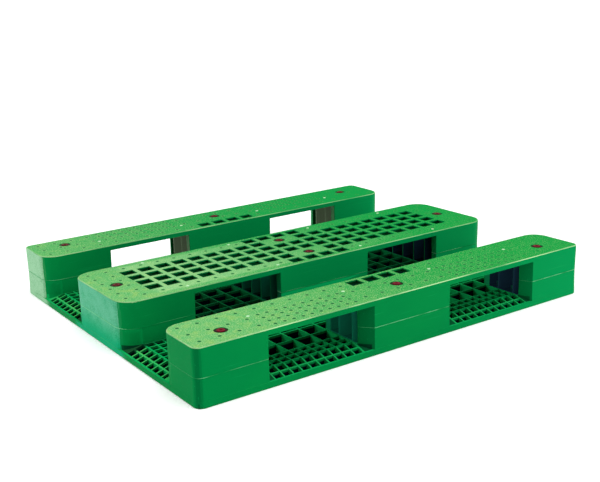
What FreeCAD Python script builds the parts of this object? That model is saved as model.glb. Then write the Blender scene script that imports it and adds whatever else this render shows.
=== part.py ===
"""Plastic pallet, 1200 x 1000 x 140 mm, standing on its lattice deck with its three runners up.

Millimetres, +Z up, X along the runners. The origin is the centre of the footprint, on the floor.
Four injection mouldings (the deck and three runners) are welded face to face at the seam height,
and ten rubber plugs sit in counterbored bosses in the runners. The mouldings narrow towards the
seam by their draft, so that the pallet is widest at the deck's rim and at the runners' plates.
"""
import FreeCAD, Part

import math
import os

import Sketcher
from FreeCAD import Placement, Rotation, Vector

SIZES = {
    "length": 1200,
    "width": 1000,
    "height": 140,
    "plate_top": 139,
    "seam": 70,
    "draft_angle": 1,
    # deck: a rim all round, a bevel and a ribbed field
    "rim_top": 16,
    "rim_wall": 6,
    "deck_top": 28,
    "bevel_run": 45,
    "skin": 4,
    "rib": 3,
    "wall": 4,
    "field_pitch": 50,
    "border_pitch": 25,
    "border_width": 100,
    "deck_rib": 4,
    "deck_hole": 38,
    "foot_radius": 3,
    # runners and blocks
    "outer_runner": 160,
    "centre_runner": 296,
    "span_underside": 125,
    "middle_block": 146,
    "end_block": 402,
    "middle_mouth": 120,
    "end_mouth": 418,
    "mouth_depth": 30,
    "cheek": 20,
    "outer_radius": 20,
    "inner_radius": 45,
    "centre_radius": 50,
    "edge_radius": 3,
    "outer_rib_pitch": 52,
    "centre_rib_pitch": 48,
    # holes in the runners' top skin
    "hole_long": 38,
    "hole_wide": 34,
    "outer_hole_inset": 29,
    "centre_edge_row": 118,
    "hole_columns": 20,
    # rubber plugs and their seats
    "plug_inset": 62,
    "plug_station": 500,
    "centre_plug_station": 542,
    "centre_plug_offset": 73,
    "boss_radius": 20,
    "boss_depth": 26,
    "seat_radius": 16.5,
    "seat_depth": 3,
    "bore_radius": 8.2,
    "flange_radius": 16,
    "flange_thickness": 1.5,
    "head_radius": 9.5,
    "stem_radius": 8,
    "stem_length": 21,
    "tip_radius": 6,
    "tip_length": 5,
}

OVERRUN = 1.0
SMALLEST_CELL = 8.0


def make_sheet(doc):
    """Store every driving dimension in the spreadsheet called Size."""
    sheet = doc.addObject("Spreadsheet::Sheet", "Size")
    for row, (alias, size) in enumerate(SIZES.items(), start=1):
        sheet.set(f"A{row}", alias)
        sheet.set(f"B{row}", str(size))
        sheet.setAlias(f"B{row}", alias)
    doc.recompute()
    return sheet


DOC = FreeCAD.newDocument("pallet")
SIZE = make_sheet(DOC)


def value(expression):
    """Number that an expression over the sheet gives, such as 'Size.length / 2'."""
    return float(SIZE.evalExpression(expression))


# ---------------------------------------------------------------- sketches and features

def new_sketch(body, name, level):
    """Sketch parallel to the floor in a body, at a height given as an expression."""
    sketch = body.newObject("Sketcher::SketchObject", name)
    plane = next(item for item in body.Origin.OriginFeatures if item.Role == "XY_Plane")
    sketch.AttachmentSupport = [(plane, "")]
    sketch.MapMode = "FlatFace"
    sketch.setExpression("AttachmentOffset.Base.z", level)
    return sketch


def bind(sketch, constraint, expression):
    """Add a dimensional constraint and bind it to the sheet."""
    index = sketch.addConstraint(constraint)
    sketch.setExpression(f"Constraints[{index}]", expression)


def add_outline(sketch, corners):
    """Add a closed outline to a sketch, fully constrained from the sheet.

    Each corner is (x expression, y expression, radius expression or None), and a rounded corner
    joins a horizontal edge and a vertical one.
    """
    points = [Vector(value(x), value(y), 0) for x, y, _ in corners]
    turn = sum(a.x * b.y - b.x * a.y for a, b in zip(points, points[1:] + points[:1]))
    if turn < 0:
        corners = corners[::-1]
        points = points[::-1]
    count = len(points)
    starts = []
    ends = []
    for index, (_, _, radius) in enumerate(corners):
        reach = value(radius) if radius else 0.0
        before = (points[index - 1] - points[index]).normalize()
        after = (points[(index + 1) % count] - points[index]).normalize()
        ends.append(points[index] + before * reach)
        starts.append(points[index] + after * reach)
    lines = []
    kinds = []
    for index in range(count):
        following = (index + 1) % count
        line = sketch.addGeometry(Part.LineSegment(starts[index], ends[following]), False)
        lines.append(line)
        x, y, _ = corners[index]
        if abs(points[index].y - points[following].y) < 1e-6:
            kinds.append("level")
            sketch.addConstraint(Sketcher.Constraint("Horizontal", line))
            bind(sketch, Sketcher.Constraint("DistanceY", line, 1, points[index].y), y)
        elif abs(points[index].x - points[following].x) < 1e-6:
            kinds.append("upright")
            sketch.addConstraint(Sketcher.Constraint("Vertical", line))
            bind(sketch, Sketcher.Constraint("DistanceX", line, 1, points[index].x), x)
        else:
            kinds.append("slanted")
    for index, (x, y, radius) in enumerate(corners):
        line = lines[index]
        previous = lines[index - 1]
        if radius:
            add_corner_arc(sketch, previous, line, points[index], ends[index], starts[index], radius)
            continue
        sketch.addConstraint(Sketcher.Constraint("Coincident", previous, 2, line, 1))
        pair = {kinds[index - 1], kinds[index]}
        if pair == {"level", "slanted"}:
            bind(sketch, Sketcher.Constraint("DistanceX", line, 1, points[index].x), x)
        elif pair == {"upright", "slanted"}:
            bind(sketch, Sketcher.Constraint("DistanceY", line, 1, points[index].y), y)


def add_corner_arc(sketch, previous, line, corner, arc_start, arc_end, radius):
    """Round the corner between two lines of a sketch with a tangent arc."""
    centre = arc_start + arc_end - corner
    first = math.atan2(arc_start.y - centre.y, arc_start.x - centre.x)
    last = math.atan2(arc_end.y - centre.y, arc_end.x - centre.x)
    if last < first:
        last += 2 * math.pi
    circle = Part.Circle(centre, Vector(0, 0, 1), value(radius))
    arc = sketch.addGeometry(Part.ArcOfCircle(circle, first, last), False)
    sketch.addConstraint(Sketcher.Constraint("Tangent", previous, 2, arc, 1))
    sketch.addConstraint(Sketcher.Constraint("Tangent", arc, 2, line, 1))
    bind(sketch, Sketcher.Constraint("Radius", arc, value(radius)), radius)


def add_pad(body, sketch, name, length, drafted=False, downwards=False):
    """Pad a sketch by a length given as an expression, with the moulding draft if asked."""
    pad = body.newObject("PartDesign::Pad", name)
    pad.Profile = sketch
    pad.setExpression("Length", length)
    pad.Reversed = downwards
    if drafted:
        pad.setExpression("TaperAngle", "-Size.draft_angle")
    pad.Refine = True
    sketch.Visibility = False
    DOC.recompute()
    return pad


def round_edges(body, pad, name, level, radius):
    """Round the edges of a pad that lie wholly at one height."""
    edges = [
        f"Edge{index}" for index, edge in enumerate(pad.Shape.Edges, start=1)
        if max(abs(edge.BoundBox.ZMin - level), abs(edge.BoundBox.ZMax - level)) < 1e-3
    ]
    rounding = body.newObject("PartDesign::Fillet", name)
    rounding.Base = (pad, edges)
    rounding.setExpression("Radius", radius)
    DOC.recompute()


def cut(base, voids, label):
    """Part::Cut of an object with a compound of voids."""
    tool = DOC.addObject("Part::Feature", f"{label}_voids")
    tool.Shape = Part.makeCompound(voids)
    result = DOC.addObject("Part::Cut", label)
    result.Base = base
    result.Tool = tool
    result.Label = label
    DOC.recompute()
    return result


def make_box(x_range, y_range, z_range):
    """Box between three pairs of coordinates."""
    low = [min(pair) for pair in (x_range, y_range, z_range)]
    high = [max(pair) for pair in (x_range, y_range, z_range)]
    spans = [top - bottom for bottom, top in zip(low, high)]
    return Part.makeBox(*spans, Vector(*low))


# ---------------------------------------------------------------- outlines in plan

def mirrored(corners, flip_x=False, flip_y=False):
    """Mirror the corners of an outline by negating their expressions."""
    def flip(expression, wanted):
        return f"-({expression})" if wanted else expression
    return [(flip(x, flip_x), flip(y, flip_y), radius) for x, y, radius in corners]


def outer_end_block():
    """Block at the +X end of an outer runner, on the -Y side of the pallet."""
    outer = "-Size.width / 2"
    inner = "-(Size.width / 2 - Size.outer_runner)"
    throat = "-(Size.width / 2 - Size.mouth_depth)"
    return [
        ("Size.end_mouth", outer, None),
        ("Size.length / 2", outer, "Size.outer_radius"),
        ("Size.length / 2", inner, "Size.inner_radius"),
        ("Size.end_block", inner, None),
        ("Size.end_block", throat, None),
    ]


def outer_middle_block():
    """Block in the middle of an outer runner, on the -Y side of the pallet."""
    outer = "-Size.width / 2"
    inner = "-(Size.width / 2 - Size.outer_runner)"
    throat = "-(Size.width / 2 - Size.mouth_depth)"
    return [
        ("-Size.middle_mouth", outer, None),
        ("Size.middle_mouth", outer, None),
        ("Size.middle_block", throat, None),
        ("Size.middle_block", inner, None),
        ("-Size.middle_block", inner, None),
        ("-Size.middle_block", throat, None),
    ]


def centre_end_block():
    """Block at the +X end of the centre runner."""
    side = "Size.centre_runner / 2"
    return [
        ("Size.end_block", f"-{side}", None),
        ("Size.length / 2", f"-{side}", "Size.centre_radius"),
        ("Size.length / 2", side, "Size.centre_radius"),
        ("Size.end_block", side, None),
    ]


def centre_middle_block():
    """Block in the middle of the centre runner."""
    return rectangle("Size.middle_block", "Size.centre_runner / 2")


def rectangle(half_x, half_y, radius=None):
    """Rectangle about the origin from its half sizes."""
    return [
        (f"-({half_x})", f"-({half_y})", radius),
        (half_x, f"-({half_y})", radius),
        (half_x, half_y, radius),
        (f"-({half_x})", half_y, radius),
    ]


def outer_blocks():
    """The three blocks of the outer runner on the -Y side."""
    end = outer_end_block()
    return [mirrored(end, flip_x=True), outer_middle_block(), end]


def centre_blocks():
    """The three blocks of the centre runner."""
    end = centre_end_block()
    return [mirrored(end, flip_x=True), centre_middle_block(), end]


def outer_plate():
    """Plan of the outer runner on the -Y side."""
    outer = "-Size.width / 2"
    inner = "-(Size.width / 2 - Size.outer_runner)"
    return [
        ("-Size.length / 2", outer, "Size.outer_radius"),
        ("Size.length / 2", outer, "Size.outer_radius"),
        ("Size.length / 2", inner, "Size.inner_radius"),
        ("-Size.length / 2", inner, "Size.inner_radius"),
    ]


def centre_plate():
    """Plan of the centre runner."""
    return rectangle("Size.length / 2", "Size.centre_runner / 2", "Size.centre_radius")


# ---------------------------------------------------------------- ribbed cavities

def rib_columns():
    """X ranges of the open cells between the cross ribs of a runner or a block."""
    pitch = value("Size.field_pitch")
    half_rib = value("Size.rib") / 2
    half_count = round(value("Size.length / 2 / Size.field_pitch"))
    steps = range(-half_count, half_count)
    return [(step * pitch + half_rib, (step + 1) * pitch - half_rib) for step in steps]


def outer_rows():
    """Y ranges of the rows of cells in the outer runner on the -Y side."""
    half_rib = value("Size.rib") / 2
    pitch = value("Size.outer_rib_pitch")
    first = -(value("Size.width") - value("Size.wall")) / 2
    return [(first + step * pitch + half_rib, first + (step + 1) * pitch - half_rib) for step in range(3)]


def centre_rows():
    """Y ranges of the rows of cells in the centre runner."""
    half_rib = value("Size.rib") / 2
    pitch = value("Size.centre_rib_pitch")
    return [(step * pitch + half_rib, (step + 1) * pitch - half_rib) for step in range(-3, 3)]


def inner_prism(outlines, low, high):
    """Prisms inside outlines, a wall's thickness in from them, between two heights."""
    sketch = DOC.addObject("Sketcher::SketchObject", "inner_plan")
    for corners in outlines:
        add_outline(sketch, corners)
    DOC.recompute()
    plan = Part.makeFace(sketch.Shape, "Part::FaceMakerBullseye")
    DOC.removeObject(sketch.Name)
    inset = [face.makeOffset2D(-value("Size.wall"), join=2) for face in plan.Faces]
    prisms = []
    for face in inset:
        face.translate(Vector(0, 0, low))
        prisms.append(face.extrude(Vector(0, 0, high - low)))
    return prisms


def ribbed_cells(prisms, rows, low, high):
    """Cells of a ribbed cavity: the boxes between the ribs that lie inside the prisms."""
    boxes = [make_box(column, row, (low, high)) for column in rib_columns() for row in rows]
    cavity = prisms[0].multiFuse(prisms[1:]) if len(prisms) > 1 else prisms[0]
    return cavity.common(Part.makeCompound(boxes)).Solids


def block_windows(rows, cheeks, low, high):
    """Openings in the block faces that look along X into the fork tunnels.

    Each face is open between its two cheeks, row by row, back to the first cross rib.
    """
    pitch = value("Size.field_pitch")
    half_rib = value("Size.rib") / 2
    middle = value("Size.middle_block")
    end = value("Size.end_block")
    middle_rib = math.floor(middle / pitch) * pitch + half_rib
    end_rib = math.ceil(end / pitch) * pitch - half_rib
    reaches = [(middle_rib, middle + OVERRUN), (end - OVERRUN, end_rib)]
    windows = []
    for row in rows:
        span = (max(row[0], cheeks[0]), min(row[1], cheeks[1]))
        for reach in reaches:
            for side in (-1, 1):
                x_range = (side * reach[0], side * reach[1])
                windows.append(make_box(x_range, span, (low, high)))
    return windows


def outer_cheeks():
    """Y range that is open between the cheeks of the outer blocks on the -Y side."""
    outer = -value("Size.width / 2 - Size.mouth_depth - Size.wall")
    inner = -value("Size.width / 2 - Size.outer_runner + Size.cheek")
    return (outer, inner)


def centre_cheeks():
    """Y range that is open between the cheeks of the centre blocks."""
    half = value("Size.centre_runner / 2 - Size.cheek")
    return (-half, half)


# ---------------------------------------------------------------- deck moulding

def block_footprints():
    """Ranges in X and Y that the nine blocks cover on the deck."""
    half_length = value("Size.length") / 2
    half_width = value("Size.width") / 2
    middle = value("Size.middle_block")
    end = value("Size.end_block")
    inner = half_width - value("Size.outer_runner")
    centre = value("Size.centre_runner") / 2
    x_ranges = [(-half_length, -end), (-middle, middle), (end, half_length)]
    y_ranges = [(-half_width, -inner), (-centre, centre), (inner, half_width)]
    return [(x_range, y_range) for x_range in x_ranges for y_range in y_ranges]


def trimmed(low, high, block):
    """Longer part of a range that is left outside a block's range."""
    below = (low, min(high, block[0]))
    above = (max(low, block[1]), high)
    return max((below, above), key=lambda part: part[1] - part[0])


def clear_of_blocks(x_range, y_range, footprints):
    """Cell trimmed back from the blocks, or None where too little of it is left."""
    for block_x, block_y in footprints:
        apart_x = x_range[0] >= block_x[1] or x_range[1] <= block_x[0]
        apart_y = y_range[0] >= block_y[1] or y_range[1] <= block_y[0]
        if apart_x or apart_y:
            continue
        shorter_x = trimmed(*x_range, block_x)
        shorter_y = trimmed(*y_range, block_y)
        if shorter_x[1] - shorter_x[0] > shorter_y[1] - shorter_y[0]:
            x_range = shorter_x
        else:
            y_range = shorter_y
        if min(x_range[1] - x_range[0], y_range[1] - y_range[0]) < SMALLEST_CELL:
            return None
    return (x_range, y_range)


def deck_lattice():
    """Ranges of the deck's cells: coarse ones in the field and fine ones in the border."""
    pitch = value("Size.field_pitch")
    fine = value("Size.border_pitch")
    half_rib = value("Size.deck_rib") / 2
    border = value("Size.border_width")
    limits = [value("Size.length") / 2, value("Size.width") / 2]
    edges = [limit - value("Size.rim_wall") for limit in limits]
    footprints = block_footprints()
    field = []
    rim = []
    for column in range(round(2 * limits[0] / pitch)):
        for row in range(round(2 * limits[1] / pitch)):
            corner = [column * pitch - limits[0], row * pitch - limits[1]]
            middle = [abs(start + pitch / 2) for start in corner]
            in_border = any(place > limit - border for place, limit in zip(middle, limits))
            step = fine if in_border else pitch
            offsets = [number * step for number in range(round(pitch / step))]
            for shift_x in offsets:
                for shift_y in offsets:
                    starts = (corner[0] + shift_x, corner[1] + shift_y)
                    ranges = [
                        (max(start + half_rib, -edge), min(start + step - half_rib, edge))
                        for start, edge in zip(starts, edges)
                    ]
                    cell = clear_of_blocks(*ranges, footprints)
                    if cell:
                        (rim if in_border else field).append(cell)
    return field, rim


def deck_moulding():
    """Lattice deck with a bevelled border and the nine lower half-blocks."""
    body = DOC.addObject("PartDesign::Body", "deck_blank")
    rim_plan = new_sketch(body, "rim_plan", "0")
    add_outline(rim_plan, rectangle("Size.length / 2", "Size.width / 2", "Size.outer_radius"))
    rim_pad = add_pad(body, rim_plan, "rim", "Size.rim_top")
    round_edges(body, rim_pad, "foot_rounding", 0.0, "Size.foot_radius")

    foot = new_sketch(body, "bevel_foot", "Size.rim_top")
    add_outline(foot, rectangle("Size.length / 2 - Size.rim_wall", "Size.width / 2 - Size.rim_wall"))
    crest = new_sketch(body, "bevel_crest", "Size.deck_top")
    add_outline(crest, rectangle("Size.length / 2 - Size.bevel_run", "Size.width / 2 - Size.bevel_run"))
    bevel = body.newObject("PartDesign::AdditiveLoft", "bevel")
    bevel.Profile = foot
    bevel.Sections = [crest]
    bevel.Ruled = True
    DOC.recompute()

    blocks = new_sketch(body, "blocks_plan", "Size.skin")
    for corners in outer_blocks():
        add_outline(blocks, corners)
        add_outline(blocks, mirrored(corners, flip_y=True))
    for corners in centre_blocks():
        add_outline(blocks, corners)
    add_pad(body, blocks, "half_blocks", "Size.seam - Size.skin", drafted=True)

    skin = value("Size.skin")
    seam = value("Size.seam")
    deck_top = value("Size.deck_top")
    field, border = deck_lattice()
    cells = [make_box(*cell, (skin, deck_top + OVERRUN)) for cell in field + border]
    turn = Placement(Vector(), Rotation(Vector(0, 0, 1), 180))
    outer_prisms = inner_prism(outer_blocks(), skin, seam + OVERRUN)
    outer_cells = ribbed_cells(outer_prisms, outer_rows(), skin, seam + OVERRUN)
    centre_prisms = inner_prism(centre_blocks(), skin, seam + OVERRUN)
    cells += ribbed_cells(centre_prisms, centre_rows(), skin, seam + OVERRUN)
    cells += outer_cells
    cells += [cell.transformed(turn.toMatrix()) for cell in outer_cells]
    hollowed = cut(body, cells, "deck_hollowed")

    outer_windows = block_windows(outer_rows(), outer_cheeks(), deck_top, seam + OVERRUN)
    openings = block_windows(centre_rows(), centre_cheeks(), deck_top, seam + OVERRUN)
    openings += outer_windows
    openings += [window.transformed(turn.toMatrix()) for window in outer_windows]
    margin = (value("Size.field_pitch") - value("Size.deck_rib") - value("Size.deck_hole")) / 2
    for x_range, y_range in field:
        hole_x = (x_range[0] + margin, x_range[1] - margin)
        hole_y = (y_range[0] + margin, y_range[1] - margin)
        openings.append(make_box(hole_x, hole_y, (-OVERRUN, skin + OVERRUN)))
    return cut(hollowed, openings, "deck_moulding")


# ---------------------------------------------------------------- runners

def runner_blank(label, plate, blocks):
    """Solid outer form of a runner: a plate with rounded top edges and three half-blocks."""
    body = DOC.addObject("PartDesign::Body", f"{label}_blank")
    plate_plan = new_sketch(body, "plate_plan", "Size.span_underside")
    add_outline(plate_plan, plate)
    pad = add_pad(body, plate_plan, "plate", "Size.plate_top - Size.span_underside")
    round_edges(body, pad, "top_rounding", value("Size.plate_top"), "Size.edge_radius")

    blocks_plan = new_sketch(body, "blocks_plan", "Size.span_underside")
    for corners in blocks:
        add_outline(blocks_plan, corners)
    depth = "Size.span_underside - Size.seam"
    add_pad(body, blocks_plan, "half_blocks", depth, drafted=True, downwards=True)
    return body


def runner_cells(plate, blocks, rows, plugs):
    """Cells under a runner's top skin, deep in the blocks and shallow in the spans."""
    seam = value("Size.seam")
    top = value("Size.plate_top - Size.skin")
    underside = value("Size.span_underside")
    prisms = inner_prism(blocks, seam - OVERRUN, underside + OVERRUN)
    prisms += inner_prism([plate], underside, top)
    cells = ribbed_cells(prisms, rows, seam - OVERRUN, top)
    radius = value("Size.boss_radius")
    depth = value("Size.boss_depth")
    bosses = [Part.makeCylinder(radius, depth, Vector(x, y, top - depth)) for x, y in plugs]
    return Part.makeCompound(cells).cut(bosses).Solids


def runner(label, plate, blocks, rows, cheeks, holes, plugs):
    """One runner moulding with its ribs, windows, top holes and plug seats."""
    body = runner_blank(label, plate, blocks)
    hollowed = cut(body, runner_cells(plate, blocks, rows, plugs), f"{label}_hollowed")
    seam = value("Size.seam")
    top = value("Size.plate_top")
    openings = block_windows(rows, cheeks, seam - OVERRUN, value("Size.span_underside"))
    long_half = value("Size.hole_long") / 2
    wide_half = value("Size.hole_wide") / 2
    skin = value("Size.skin")
    for x, y in holes:
        x_range = (x - long_half, x + long_half)
        y_range = (y - wide_half, y + wide_half)
        openings.append(make_box(x_range, y_range, (top - skin - OVERRUN, top + OVERRUN)))
    openings += [plug_seat(x, y) for x, y in plugs]
    return cut(hollowed, openings, label)


def plug_seat(x, y):
    """Counterbored blind hole that takes a rubber plug."""
    top = value("Size.plate_top")
    depth = value("Size.boss_depth")
    recess = value("Size.seat_depth")
    bore = Part.makeCylinder(value("Size.bore_radius"), depth + OVERRUN, Vector(x, y, top - depth))
    seat = Part.makeCylinder(value("Size.seat_radius"), recess + OVERRUN, Vector(x, y, top - recess))
    return bore.fuse(seat)


def outer_plug_places():
    """Plug centres of the outer runner on the -Y side, from -X to +X."""
    station = value("Size.plug_station")
    y = -value("Size.width / 2 - Size.plug_inset")
    return [(-station, y), (0.0, y), (station, y)]


def centre_plug_places():
    """Plug centres of the centre runner: left, right, front and back."""
    station = value("Size.centre_plug_station")
    offset = value("Size.centre_plug_offset")
    return [(-station, 0.0), (station, 0.0), (0.0, -offset), (0.0, offset)]


def outer_hole_places():
    """Centres of the four holes in the top skin of the outer runner on the -Y side."""
    pitch = value("Size.field_pitch")
    y = -value("Size.width / 2 - Size.outer_runner + Size.outer_hole_inset")
    return [((step + 0.5) * pitch, y) for step in range(-2, 2)]


def centre_hole_places():
    """Centres of the holes in the top skin of the centre runner."""
    pitch = value("Size.field_pitch")
    row_pitch = value("Size.centre_rib_pitch")
    half = int(value("Size.hole_columns") / 2)
    edge_row = value("Size.centre_edge_row")
    places = []
    for step in range(-half, half):
        x = (step + 0.5) * pitch
        beside_plug = abs(x) < pitch
        near_middle = abs(x) < 2 * pitch
        rows = [row_pitch / 2]
        if not beside_plug:
            rows.append(3 * row_pitch / 2)
        if near_middle:
            rows.append(edge_row)
        places += [(x, side * y) for y in rows for side in (-1, 1)]
    return places


# ---------------------------------------------------------------- rubber plugs

def rubber_plug(label, x, y):
    """Rubber plug: a head on a flange, with a stem that tapers at its tip.

    Its own origin is the centre of the seat's floor, and its head stands just proud of the runner.
    """
    head_top = "Size.height - Size.plate_top + Size.seat_depth"
    body = DOC.addObject("PartDesign::Body", label)
    sketch = body.newObject("Sketcher::SketchObject", "profile")
    plane = next(item for item in body.Origin.OriginFeatures if item.Role == "XZ_Plane")
    sketch.AttachmentSupport = [(plane, "")]
    sketch.MapMode = "FlatFace"
    add_outline(sketch, [
        ("0", "-Size.stem_length", None),
        ("Size.tip_radius", "-Size.stem_length", None),
        ("Size.stem_radius", "-(Size.stem_length - Size.tip_length)", None),
        ("Size.stem_radius", "0", None),
        ("Size.flange_radius", "0", None),
        ("Size.flange_radius", "Size.flange_thickness", None),
        ("Size.head_radius", "Size.flange_thickness", None),
        ("Size.head_radius", head_top, None),
        ("0", head_top, None),
    ])
    turned = body.newObject("PartDesign::Revolution", "turned")
    turned.Profile = sketch
    turned.ReferenceAxis = (sketch, ["V_Axis"])
    turned.Angle = 360
    body.Placement = Placement(Vector(x, y, value("Size.plate_top - Size.seat_depth")), Rotation())
    DOC.recompute()
    return body


# ---------------------------------------------------------------- assembly

def outer_runner(label, turned):
    """Outer runner, built on the -Y side and turned half round for the +Y side."""
    piece = runner(
        label, outer_plate(), outer_blocks(), outer_rows(), outer_cheeks(),
        outer_hole_places(), outer_plug_places(),
    )
    if turned:
        piece.Placement = Placement(Vector(), Rotation(Vector(0, 0, 1), 180))
    return piece


def build():
    """Build every piece of the pallet and return the objects to write."""
    pieces = [deck_moulding(), outer_runner("runner_near", False), outer_runner("runner_far", True)]
    pieces.append(runner(
        "runner_centre", centre_plate(), centre_blocks(), centre_rows(), centre_cheeks(),
        centre_hole_places(), centre_plug_places(),
    ))
    for place, (x, y) in zip(("left", "middle", "right"), outer_plug_places()):
        pieces.append(rubber_plug(f"plug_near_{place}", x, y))
        pieces.append(rubber_plug(f"plug_far_{place}", x, -y))
    for place, (x, y) in zip(("left", "right", "front", "back"), centre_plug_places()):
        pieces.append(rubber_plug(f"plug_centre_{place}", x, y))
    return pieces


def check(pieces):
    """Stop if any object failed or any piece is not one valid solid."""
    for item in DOC.Objects:
        if {"Invalid", "Error"} & set(item.State):
            raise RuntimeError(f"{item.Label} failed: {item.State}")
    for piece in pieces:
        shape = piece.Shape
        if shape.isNull() or not shape.isValid() or len(shape.Solids) != 1:
            raise RuntimeError(f"{piece.Label} is not one valid solid")


def export(pieces):
    """Write each piece to parts/NODE.step."""
    os.makedirs("parts", exist_ok=True)
    for piece in pieces:
        piece.Shape.exportStep(f"parts/{piece.Label}.step")
        print(f"{piece.Label}: {piece.Shape.Volume / 1000:.0f} cm3, {len(piece.Shape.Faces)} faces")


PIECES = build()
check(PIECES)
export(PIECES)
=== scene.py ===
"""Looks of a welded plastic pallet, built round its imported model.

Metres, +Z up, X along the runners, with the floor at zero. The deck and the runners come from
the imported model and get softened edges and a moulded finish. The rubber plugs, the weld flash,
the grip studs and the gate marks are modelled here.
"""
import logging
import math
from collections.abc import Callable, Iterable
from dataclasses import dataclass
from enum import Enum
from itertools import product

import bmesh
import bpy
from mathutils import Matrix, Vector


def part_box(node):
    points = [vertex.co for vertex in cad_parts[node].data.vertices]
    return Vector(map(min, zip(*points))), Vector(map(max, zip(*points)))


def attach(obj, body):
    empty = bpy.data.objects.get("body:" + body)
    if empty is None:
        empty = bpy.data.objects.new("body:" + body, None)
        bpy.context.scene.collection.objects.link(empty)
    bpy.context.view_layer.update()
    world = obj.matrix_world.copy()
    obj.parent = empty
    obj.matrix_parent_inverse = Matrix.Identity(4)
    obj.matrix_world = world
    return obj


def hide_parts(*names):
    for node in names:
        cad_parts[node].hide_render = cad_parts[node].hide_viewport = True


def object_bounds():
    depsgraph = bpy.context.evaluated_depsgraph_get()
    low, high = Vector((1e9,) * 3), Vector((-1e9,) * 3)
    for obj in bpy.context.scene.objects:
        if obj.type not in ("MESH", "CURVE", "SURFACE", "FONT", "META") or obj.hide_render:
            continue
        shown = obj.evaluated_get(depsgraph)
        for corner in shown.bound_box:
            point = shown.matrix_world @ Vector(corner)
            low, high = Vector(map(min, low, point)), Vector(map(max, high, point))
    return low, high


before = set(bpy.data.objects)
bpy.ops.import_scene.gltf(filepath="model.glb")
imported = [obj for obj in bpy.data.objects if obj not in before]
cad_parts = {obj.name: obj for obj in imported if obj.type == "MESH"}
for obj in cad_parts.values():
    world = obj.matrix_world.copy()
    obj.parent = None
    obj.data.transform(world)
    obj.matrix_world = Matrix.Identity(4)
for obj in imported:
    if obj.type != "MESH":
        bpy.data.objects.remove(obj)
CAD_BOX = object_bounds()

LOG = logging.getLogger("pallet")
SOFT = 0.001  # metres over which a painted edge fades
FLAT = 0.9  # least part of a normal along an axis for its face to count as square to it
SHARP = 40.0  # degrees from which an edge shades sharp
LUMPY = 3.0  # octaves of a noise that has lumps of several sizes

Point = tuple[float, float, float]
Place = tuple[float, float]
Span = tuple[float, float]
Colour = tuple[float, float, float, float]


class Side(Enum):
    """Which outer runner, by the sign of its Y."""

    NEAR = -1
    FAR = 1


class Element(Enum):
    """What edit mode selects."""

    VERTEX = "VERT"
    FACE = "FACE"


# ------------------------------------------------------------------ shader expressions

class Signal:
    """A shader socket that takes part in Python arithmetic."""

    def __init__(self, shader: "Shader", socket: bpy.types.NodeSocket) -> None:
        """Wrap a node's output socket.

        Args:
            shader: The shader that the socket's node is in.
            socket: The output socket.
        """
        self.shader = shader
        self.socket = socket

    def _math(self, operation: str, first: "Operand", second: "Operand") -> "Signal":
        """Math node on two operands, as a new signal."""
        return self.shader.node("ShaderNodeMath", {"operation": operation}, {0: first, 1: second})

    def __add__(self, other: "Operand") -> "Signal":
        """Sum."""
        return self._math("ADD", self, other)

    def __radd__(self, other: "Operand") -> "Signal":
        """Sum, reflected."""
        return self._math("ADD", other, self)

    def __sub__(self, other: "Operand") -> "Signal":
        """Difference."""
        return self._math("SUBTRACT", self, other)

    def __rsub__(self, other: "Operand") -> "Signal":
        """Difference, reflected."""
        return self._math("SUBTRACT", other, self)

    def __mul__(self, other: "Operand") -> "Signal":
        """Product."""
        return self._math("MULTIPLY", self, other)

    def __rmul__(self, other: "Operand") -> "Signal":
        """Product, reflected."""
        return self._math("MULTIPLY", other, self)

    def ramp(self, start: float, end: float) -> "Signal":
        """Smooth step from 0 at start to 1 at end.

        Args:
            start: Value at which the result leaves 0.
            end: Value at which the result reaches 1.

        Returns:
            The stepped value.
        """
        settings = {"interpolation_type": "SMOOTHSTEP"}
        inputs = {"Value": self, "From Min": start, "From Max": end}
        return self.shader.node("ShaderNodeMapRange", settings, inputs)

    def between(self, low: float, high: float, soft: float = SOFT / 2) -> "Signal":
        """1 from low to high and 0 outside, with soft ends.

        Args:
            low: Lower end of the band.
            high: Upper end of the band.
            soft: Width over which each end fades, outside the band.

        Returns:
            The band's value.
        """
        return self.ramp(low - soft, low) * self.ramp(high + soft, high)

    def least(self, other: "Operand") -> "Signal":
        """The smaller of two values."""
        return self._math("MINIMUM", self, other)

    def most(self, other: "Operand") -> "Signal":
        """The larger of two values."""
        return self._math("MAXIMUM", self, other)


Operand = Signal | float


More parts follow.
